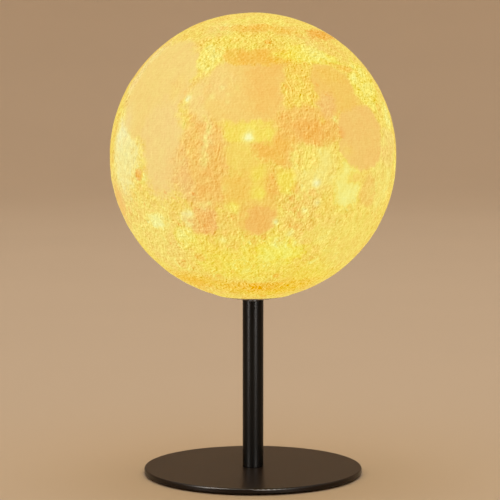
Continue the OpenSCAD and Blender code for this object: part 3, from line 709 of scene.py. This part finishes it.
def contact_tongue(pitch=0.5 * MM):
    """Black insulator with a row of gold contact strips, one at each pitch."""
    r = Recipe("contact_tongue")
    across = r.node("SeparateXYZ", {"Vector": r.place}).outputs["X"]
    place_in_row = r.maths("FRACT", r.maths("MULTIPLY", across, 1 / pitch))
    strip = r.maths("COMPARE", place_in_row, 0.5, 0.22)
    fine = r.grain(3000.0, 3.0, 0.6)
    r.surface(
        Base_Color=r.blend(strip, (0.02, 0.02, 0.022), (0.78, 0.56, 0.20)),
        Metallic=strip,
        Roughness=r.spread(fine, 0.3, 0.7, 0.30, 0.42),
        Normal=r.bumps(fine, 0.006 * MM),
    )
    return r.material


def printed_moon(looks):
    """The lit print: warm light through a thin shell, with grain where the ground is rough, and
    painted shading on ridges and small bowls as if lit from one side.
    """
    r = Recipe("lit_moon_print")
    plain, tone, milk = r.attribute("plain"), r.attribute("tone"), r.attribute("milk")
    upright = r.stretched(1.0, 1.0, 0.45)
    fine = r.grain(1500.0, 2.0, 0.6)
    # The share of each layer, and its scale in cells per metre; the last three are painted shading
    # of ridges and bowls lit from one side
    grain = r.weighed(
        (0.18, r.centred(fine)),
        (0.22, r.centred(r.grain(520.0, 2.0, 0.6, upright, 2.2))),
        (0.58, r.painted_emboss_shade(380.0, upright, (-0.5 * MM, 0.0, 0.18 * MM), 1.4)),
        (0.20, r.painted_dent_shade(300.0, (-0.8, 0.0, 0.6))),
        (0.38, r.painted_dent_shade(640.0, (-0.8, 0.0, 0.6))),
    )
    grain = r.maths("MULTIPLY", grain, r.spread(plain, -0.5, 0.9, 1.60, 0.26))
    lines = r.centred(r.waves("BANDS", 262.0, 6.0, 0.8))
    grain = r.weighed((1.0, grain), (0.02, lines))
    colour = r.ramp(
        tone,
        (0.00, looks.deep_colour),
        (0.32, looks.plain_colour),
        (0.52, looks.middle_colour),
        (0.68, looks.highland_colour),
        (0.86, looks.pale_colour),
        (1.00, looks.brightest_colour),
    )
    # The grain, with its painted shading, lightens or darkens each channel of the colour
    shift = r.node("CombineColor", {
        "Red": r.weighed((0.9, grain)),
        "Green": grain,
        "Blue": r.weighed((0.45, grain), (0.36, milk)),
    })
    colour = r.blend(1.0, colour, shift.outputs["Color"], "ADD")
    r.surface(
        Base_Color=r.blend(1.0, colour, (looks.unlit_share,) * 3, "MULTIPLY"),
        Emission_Color=colour,
        Emission_Strength=looks.glow,
        Roughness=r.spread(fine, 0.2, 0.8, 0.58, 0.72),
        Specular_IOR_Level=looks.gloss,
        Sheen_Weight=looks.sheen,
        Sheen_Roughness=0.3,
        Normal=r.bumps(grain, 0.6 * MM),
    )
    return r.material


class MoonLampGlobe(bpy.types.PropertyGroup):
    diameter: FloatProperty(
        name="Globe diameter", description="Across the printed globe", default=150 * MM,
        unit="LENGTH")
    facing: FloatProperty(
        name="Facing longitude", description="The moon's longitude at the front",
        default=math.radians(-18.5), unit="ROTATION")
    cuts: IntProperty(
        name="Cuts", description="Cuts along each edge of the starting cube's quarter", default=59,
        min=1)
    relief: FloatProperty(
        name="Relief", description="How much of the modelled relief is shown", default=1.0,
        min=0.0)
    glow: FloatProperty(
        name="Glow", description="Strength of the light through the shell", default=0.95)
    unlit_share: FloatProperty(
        name="Unlit share", description="How much of the room's light the print returns",
        default=0.025, subtype="FACTOR")
    gloss: FloatProperty(
        name="Gloss", description="Specular level of the print", default=0.06, subtype="FACTOR")
    sheen: FloatProperty(
        name="Sheen", description="Soft light that the print's edge catches", default=0.012,
        subtype="FACTOR")
    deep_colour: FloatVectorProperty(
        name="Deepest", description="Darkest lava plains", default=(0.88, 0.35, 0.05),
        subtype="COLOR")
    plain_colour: FloatVectorProperty(
        name="Plains", description="Lava plains", default=(0.92, 0.525, 0.112), subtype="COLOR")
    middle_colour: FloatVectorProperty(
        name="Middle ground", description="Between plain and highland",
        default=(0.925, 0.635, 0.124), subtype="COLOR")
    highland_colour: FloatVectorProperty(
        name="Highlands", description="Bright highlands", default=(0.935, 0.75, 0.125),
        subtype="COLOR")
    pale_colour: FloatVectorProperty(
        name="Pale ground", description="Rays and fresh ground", default=(0.95, 0.88, 0.225),
        subtype="COLOR")
    brightest_colour: FloatVectorProperty(
        name="Brightest", description="Freshest craters", default=(0.99, 0.97, 0.36),
        subtype="COLOR")


class MoonLampStand(bpy.types.PropertyGroup):
    # Painted glow: the plate's black coat is tinted warm brown, standing in for the globe's light
    # on it
    plate_coat_and_painted_glow: FloatVectorProperty(
        name="Plate coat", description="Powder coat of the plate, warmed by the globe above it",
        default=(0.0125, 0.0062, 0.0024), subtype="COLOR")
    plate_gloss: FloatProperty(
        name="Plate gloss", description="Specular level of the plate's coat", default=0.17,
        subtype="FACTOR")
    # Painted shade: the same black coat as the plate's, made darker on the post
    post_coat_and_painted_shade: FloatVectorProperty(
        name="Post coat", description="Powder coat of the post", default=(0.0030, 0.0026, 0.0022),
        subtype="COLOR")
    post_gloss: FloatProperty(
        name="Post gloss", description="Specular level of the post's coat", default=0.13,
        subtype="FACTOR")
    coat_roughness: FloatProperty(
        name="Coat roughness", description="Satin of the powder coat", default=0.31,
        subtype="FACTOR")


class MoonLampStage(bpy.types.PropertyGroup):
    floor_colour: FloatVectorProperty(
        name="Floor", description="Pale studio floor", default=(0.66, 0.51, 0.36),
        subtype="COLOR")
    sky_colour: FloatVectorProperty(
        name="Room light", description="Soft light from all round", default=(1.0, 0.96, 0.90),
        subtype="COLOR")
    sky_strength: FloatProperty(
        name="Room light strength", description="Strength of the light from all round",
        default=0.9)
    top_power: FloatProperty(
        name="Top soft box", description="Power of the box overhead", default=7.0, unit="POWER")
    side_power: FloatProperty(
        name="Low soft boxes", description="Power of each box seen in the post", default=2.9,
        unit="POWER")
    high_power: FloatProperty(
        name="High soft boxes", description="Power of each box seen in the plate", default=60.0,
        unit="POWER")
    lens: FloatProperty(
        name="Lens", description="Focal length of the camera", default=137.7, unit="CAMERA")
    camera_height: FloatProperty(
        name="Camera height", description="Above the table", default=0.206, unit="LENGTH")
    camera_pitch: FloatProperty(
        name="Camera pitch", description="Turn below level", default=math.radians(5.0),
        unit="ROTATION")


def soft_box(name, place, aim, size, power, colour):
    """A rectangle of light at a place, facing the point it aims at."""
    turn = (Vector(aim) - Vector(place)).to_track_quat("-Z", "Y").to_euler()
    bpy.ops.object.light_add(type="AREA", location=place, rotation=turn)
    light = bpy.context.object
    light.name = light.data.name = name
    light.data.shape = "RECTANGLE"
    light.data.size, light.data.size_y = size
    light.data.energy, light.data.color = power, colour
    return light


def gleam_box(name, azimuth, away, height, aim_height, size, power, colour):
    """A soft box that shows on glossy coats and lights nothing else."""
    turn = math.radians(azimuth)
    place = (away * math.sin(turn), -away * math.cos(turn), height)
    light = soft_box(name, place, (0, 0, aim_height), size, power, colour)
    light.visible_diffuse = False


class MOON_LAMP_OT_stage(bpy.types.Operator):
    """Sets up the pale floor, the soft boxes and the camera"""

    bl_idname = "moon_lamp.stage"
    bl_label = "Stage"

    def execute(self, context):
        looks = context.scene.moon_lamp_stage
        self.lay_floor(looks)
        self.set_lights(context, looks)
        self.set_camera(context, looks)
        return {"FINISHED"}

    def lay_floor(self, looks):
        """A round floor that sweeps up into a wall."""
        floor = add_piece("studio_floor", bpy.ops.mesh.primitive_circle_add, vertices=96,
                          radius=FLOOR_R, fill_type="NOTHING")
        bpy.ops.object.mode_set(mode="EDIT")
        for radius, height in FLOOR_SWEEP:
            extrude_ring(floor.data, radius, height)
        bpy.ops.mesh.select_all(action="DESELECT")
        sweep = bmesh.from_edit_mesh(floor.data)
        for v in sweep.verts:
            v.select_set(v.co.z < FLOOR_SWEEP[0][1] / 2)
        sweep.select_flush_mode()
        bpy.ops.mesh.edge_face_add()
        bpy.ops.mesh.select_all(action="SELECT")
        bpy.ops.mesh.normals_make_consistent(inside=True)
        bpy.ops.object.mode_set(mode="OBJECT")
        bpy.ops.object.shade_smooth_by_angle(angle=SMOOTH_ANGLE)
        r = Recipe("studio_floor")
        dim = shade(looks.floor_colour, 0.98)
        r.surface(
            Base_Color=r.ramp(r.grain(3.0, 2.0), (0.3, dim), (0.7, looks.floor_colour)),
            Roughness=0.85,
            Specular_IOR_Level=0.0,
        )
        floor.data.materials.append(r.material)

    def set_lights(self, context, looks):
        """Soft light from all round, and boxes that gleam on the post and the plate."""
        soft_box("soft_box_top", place=(0.0, 0.35, 2.3), aim=(0.0, 0.1, 0.0), size=(1.3, 1.3),
                 power=looks.top_power, colour=(1.0, 0.97, 0.93))
        for side, azimuth in GLEAM_SIDES:
            gleam_box("soft_box_" + side, azimuth, away=0.5, height=0.2, aim_height=0.2,
                      size=(0.10, 0.4), power=looks.side_power, colour=(1.0, 0.95, 0.90))
            gleam_box("soft_box_high_" + side, azimuth, away=1.0, height=1.1, aim_height=0,
                      size=(0.5, 0.6), power=looks.high_power, colour=(1.0, 0.90, 0.80))
        world = bpy.data.worlds.new("studio")
        context.scene.world = world
        world.use_nodes = True
        sky = world.node_tree.nodes["Background"]
        sky.inputs["Color"].default_value = (*looks.sky_colour, 1.0)
        sky.inputs["Strength"].default_value = looks.sky_strength

    def set_camera(self, context, looks):
        """The camera at the photograph's angle."""
        bpy.ops.object.camera_add(
            location=(CAMERA_X, -CAMERA_AWAY, looks.camera_height),
            rotation=(math.radians(90) - looks.camera_pitch, 0, 0))
        camera = context.object
        camera.data.sensor_width = SENSOR_WIDTH
        camera.data.lens = looks.lens
        context.scene.camera = camera
        context.scene.view_settings.view_transform = "Standard"


class MOON_LAMP_OT_globe(bpy.types.Operator):
    """Models the printed moon with its plains, craters and neck"""

    bl_idname = "moon_lamp.globe"
    bl_label = "Moon globe"

    def execute(self, context):
        looks = context.scene.moon_lamp_globe
        radius = looks.diameter / 2
        opening_z = GLOBE_CENTRE[2] - math.sqrt(radius**2 - OPENING_R**2)
        globe = add_piece("moon_globe", bpy.ops.mesh.primitive_cube_add, size=2)
        mesh = globe.data
        self.round_off(mesh, radius, looks.cuts)
        self.open_bottom(opening_z)
        outer = len(mesh.vertices)
        shading = self.press_relief(mesh, radius, looks)
        self.close_inside(mesh, radius - SHELL_WALL, opening_z)
        inner = len(mesh.vertices) - outer
        for name, values in shading.items():
            layer = mesh.attributes.new(name, "FLOAT", "POINT")
            values = np.append(values, np.full(inner, INSIDE_VALUE))
            layer.data.foreach_set("value", values.astype(np.float32))
        finish_piece(globe, printed_moon(looks), body="globe",
                     replaced=("moon_shell",))
        return {"FINISHED"}

    def round_off(self, mesh, radius, cuts):
        """Turns the cube into a sphere of even squares."""
        bpy.ops.object.mode_set(mode="EDIT")
        bpy.ops.mesh.subdivide(number_cuts=1)
        bpy.ops.mesh.subdivide(number_cuts=cuts)
        bpy.ops.object.mode_set(mode="OBJECT")
        ways = unit(np.tan(read_points(mesh) * math.pi / 4))
        mesh.vertices.foreach_set("co", (GLOBE_CENTRE + radius * ways).ravel())

    def open_bottom(self, opening_z):
        """Cuts off the cap that the opening takes."""
        bpy.ops.object.mode_set(mode="EDIT")
        bpy.ops.mesh.select_all(action="SELECT")
        bpy.ops.mesh.bisect(plane_co=(0, 0, opening_z), plane_no=(0, 0, 1), clear_inner=True)
        bpy.ops.object.mode_set(mode="OBJECT")

    def press_relief(self, mesh, radius, looks):
        """Moves the points by the moon's relief, and returns what its material reads."""
        ways = unit(read_points(mesh) - GLOBE_CENTRE)
        relief, plain, tone, milk = moon_map(ways, math.degrees(looks.facing))
        opening_arc = math.asin(OPENING_R / radius) * radius
        from_rim = np.arccos(np.clip(-ways[:, 2], -1, 1)) * radius - opening_arc
        depth = (relief - relief.max()) * looks.relief * smooth_step(from_rim / RIM_FADE)
        mesh.vertices.foreach_set("co", (GLOBE_CENTRE + (radius + depth)[:, None] * ways).ravel())
        return {"plain": plain, "tone": tone, "milk": milk}

    def close_inside(self, mesh, inner, opening_z):
        """Extrudes the rim up the neck and over the inside of the shell to its top."""
        turn_in = math.asin(NECK_R / inner)
        bpy.ops.object.mode_set(mode="EDIT")
        bpy.ops.mesh.select_mode(type="EDGE")
        bpy.ops.mesh.select_all(action="DESELECT")
        bpy.ops.mesh.select_non_manifold()
        extrude_ring(mesh, OPENING_R, opening_z + NECK_LEN)
        extrude_ring(mesh, NECK_R, opening_z + NECK_LEN)
        for step in range(INSIDE_RINGS):
            angle = turn_in + (math.pi - turn_in) * step / INSIDE_RINGS
            height = GLOBE_CENTRE[2] - inner * math.cos(angle)
            last = extrude_ring(mesh, inner * math.sin(angle), height)
        bmesh.ops.pointmerge(bmesh.from_edit_mesh(mesh), verts=last,
                             merge_co=(0, 0, GLOBE_CENTRE[2] + inner))
        bmesh.update_edit_mesh(mesh)
        bpy.ops.mesh.select_all(action="SELECT")
        bpy.ops.mesh.normals_make_consistent(inside=False)
        bpy.ops.object.mode_set(mode="OBJECT")


class MOON_LAMP_OT_stand(bpy.types.Operator):
    """Dresses the powder-coated plate and post, and the foam pad"""

    bl_idname = "moon_lamp.stand"
    bl_label = "Base and post"

    def execute(self, context):
        looks = context.scene.moon_lamp_stand
        # One black coat in two copies: the plate's tinted warm as painted glow, the post's darker
        # as painted shade
        dress(powder_coat("black_powder_coat", looks.plate_coat_and_painted_glow, looks.coat_roughness,
                          looks.plate_gloss), "base_plate")
        dress(powder_coat("black_powder_coat_post_painted_shade", looks.post_coat_and_painted_shade, looks.coat_roughness,
                          looks.post_gloss), "post_tube")
        dress(moulded("black_foam", (0.022, 0.022, 0.022), roughness=0.9, mottle=0.2,
                      grain=1500.0, depth=0.12, specular=0.2), "base_pad")
        return {"FINISHED"}


class MOON_LAMP_OT_fittings(bpy.types.Operator):
    """Dresses the turned plug and spigot, the screws and the washers"""

    bl_idname = "moon_lamp.fittings"
    bl_label = "Turned fittings and screws"

    def execute(self, context):
        dress(turned_metal("turned_steel", (0.60, 0.59, 0.57)), "foot_plug", "head_spigot")
        dress(zinc_plate(), "base_screw", "top_washer", "top_screw", "cover_screws", "board_screws")
        dress(moulded("fibre_washer", (0.36, 0.16, 0.08), roughness=0.7, mottle=0.2,
                      grain=1800.0, depth=0.03, specular=0.3), "brake_washer")
        return {"FINISHED"}


class MOON_LAMP_OT_housing(bpy.types.Operator):
    """Dresses the cover, bush, housing, grip ring and milky dome"""

    bl_idname = "moon_lamp.housing"
    bl_label = "Cover, housing and dome"

    def execute(self, context):
        dress(moulded("ivory_plastic", (0.80, 0.75, 0.64), roughness=0.5, mottle=0.03),
              "bottom_cover", "switch_plunger")
        dress(moulded("white_acetal", (0.82, 0.82, 0.79), roughness=0.28, mottle=0.02),
              "swivel_bush")
        dress(moulded("white_plastic", (0.80, 0.79, 0.75), roughness=0.45, mottle=0.03),
              "module_housing")
        dress(moulded("grey_silicone", (0.14, 0.14, 0.14), roughness=0.6, mottle=0.08,
                      grain=1800.0, depth=0.02), "grip_ring")
        dress(moulded("milky_plastic", (0.86, 0.83, 0.74), roughness=0.4, mottle=0.02,
                      grain=1600.0, depth=0.01, Emission_Color=(0.95, 0.72, 0.36),
                      Emission_Strength=0.8), "light_dome")
        return {"FINISHED"}


class MOON_LAMP_OT_electronics(bpy.types.Operator):
    """Dresses the boards with their chips, the cell and the leads"""

    bl_idname = "moon_lamp.electronics"
    bl_label = "Boards, cell and leads"

    def execute(self, context):
        dress(circuit_board("green_board", (0.02, 0.12, 0.04), (0.03, 0.20, 0.07)),
              "control_board")
        dress(circuit_board("white_board", (0.76, 0.77, 0.78), (0.66, 0.67, 0.66)), "led_board")
        dress(moulded("black_chips", (0.025, 0.025, 0.028), roughness=0.5, mottle=0.1,
                      grain=3000.0, depth=0.01), "charge_circuit", "power_switch")
        dress(moulded("warm_chips", (0.90, 0.66, 0.14), roughness=0.35, mottle=0.04,
                      grain=2600.0, depth=0.01, Emission_Color=(1.0, 0.72, 0.32),
                      Emission_Strength=1.5), "led_chips")
        dress(moulded("blue_wrap", (0.03, 0.14, 0.34), roughness=0.25, mottle=0.05, grain=700.0,
                      depth=0.03), "battery_cell")
        dress(two_leads("lead_insulation", split=220.0, red_side=1), "battery_leads")
        dress(two_leads("lead_insulation_led", split=70.0, red_side=-1), "led_leads")
        return {"FINISHED"}


class MOON_LAMP_OT_port_and_button(bpy.types.Operator):
    """Dresses the charging socket, its light and the power button"""

    bl_idname = "moon_lamp.port_and_button"
    bl_label = "Port and button"

    def execute(self, context):
        dress(moulded("nickel_sleeve", (0.60, 0.59, 0.55), roughness=0.26, mottle=0.04,
                      grain=2600.0, depth=0.004, Metallic=1.0), "port_sleeve")
        dress(contact_tongue(), "port_tongue")
        dress(moulded("clear_pin", (0.90, 0.94, 0.95), roughness=0.08, mottle=0.01, grain=900.0,
                      depth=0.002, Transmission_Weight=0.9), "charge_light_pin")
        dress(moulded("black_plastic", (0.02, 0.02, 0.02), roughness=0.5, mottle=0.1,
                      grain=2600.0, depth=0.02), "power_button")
        return {"FINISHED"}


class MOON_LAMP_PT_panel(bpy.types.Panel):
    """Lists the lamp's pieces and settings"""

    bl_idname = "MOON_LAMP_PT_panel"
    bl_label = "Moon lamp"
    bl_space_type = "VIEW_3D"
    bl_region_type = "UI"
    bl_category = "Moon lamp"

    def draw(self, context):
        for operator in OPERATORS:
            self.layout.operator(operator.bl_idname)
        for holder, group in SETTINGS:
            box = self.layout.box()
            for name in group.__annotations__:
                box.prop(getattr(context.scene, holder), name)


OPERATORS = (
    MOON_LAMP_OT_stage,
    MOON_LAMP_OT_globe,
    MOON_LAMP_OT_stand,
    MOON_LAMP_OT_fittings,
    MOON_LAMP_OT_housing,
    MOON_LAMP_OT_electronics,
    MOON_LAMP_OT_port_and_button,
)
SETTINGS = (
    ("moon_lamp_globe", MoonLampGlobe),
    ("moon_lamp_stand", MoonLampStand),
    ("moon_lamp_stage", MoonLampStage),
)


def register():
    for holder, group in SETTINGS:
        bpy.utils.register_class(group)
        setattr(bpy.types.Scene, holder, PointerProperty(type=group))
    for kind in (*OPERATORS, MOON_LAMP_PT_panel):
        bpy.utils.register_class(kind)


def unregister():
    for kind in (MOON_LAMP_PT_panel, *reversed(OPERATORS)):
        bpy.utils.unregister_class(kind)
    for holder, group in reversed(SETTINGS):
        delattr(bpy.types.Scene, holder)
        bpy.utils.unregister_class(group)


def main():
    register()
    bpy.ops.moon_lamp.stage()
    bpy.ops.moon_lamp.globe()
    bpy.ops.moon_lamp.stand()
    bpy.ops.moon_lamp.fittings()
    bpy.ops.moon_lamp.housing()
    bpy.ops.moon_lamp.electronics()
    bpy.ops.moon_lamp.port_and_button()


if __name__ == "__main__":
    main()
